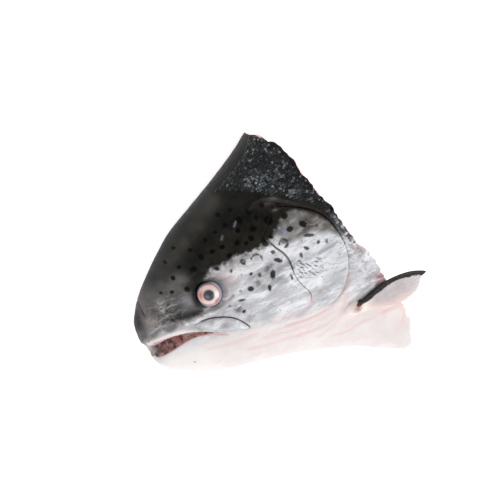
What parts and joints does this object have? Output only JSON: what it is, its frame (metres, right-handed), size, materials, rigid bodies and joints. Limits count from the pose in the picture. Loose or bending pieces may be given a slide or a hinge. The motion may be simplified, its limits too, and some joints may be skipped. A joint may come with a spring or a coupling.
{
  "type": "fish head",
  "caption": "Half of a fish head split lengthwise, lying on its cut face: spotted dark back, silvery cheek, part-open mouth, eye, gill cover and pectoral fin.",
  "frame": {"origin": "middle of the bounding box in X and Y, on the cut face the half head lies on", "axes": "+X from the snout back to the neck and fin tip, +Y from the throat to the nape, +Z out through the left cheek, away from the cut face"},
  "size_m": [0.1974, 0.1968, 0.0427],
  "materials": {
    "skin": "wet, glossy; dark spotted back, silver cheek, pink-white throat",
    "silver_plate": "wet, satin silver skin over thin bone",
    "eye": "clear wet gloss over a pale pink iris and slate pupil",
    "fin": "wet translucent membrane with a dark leading edge"
  },
  "bodies": {
    "root": {"head": "skin", "eye": "eye", "jaw_plate": "silver_plate", "gill_cover": "silver_plate", "pectoral_fin": "fin"}
  },
  "joints": []
}
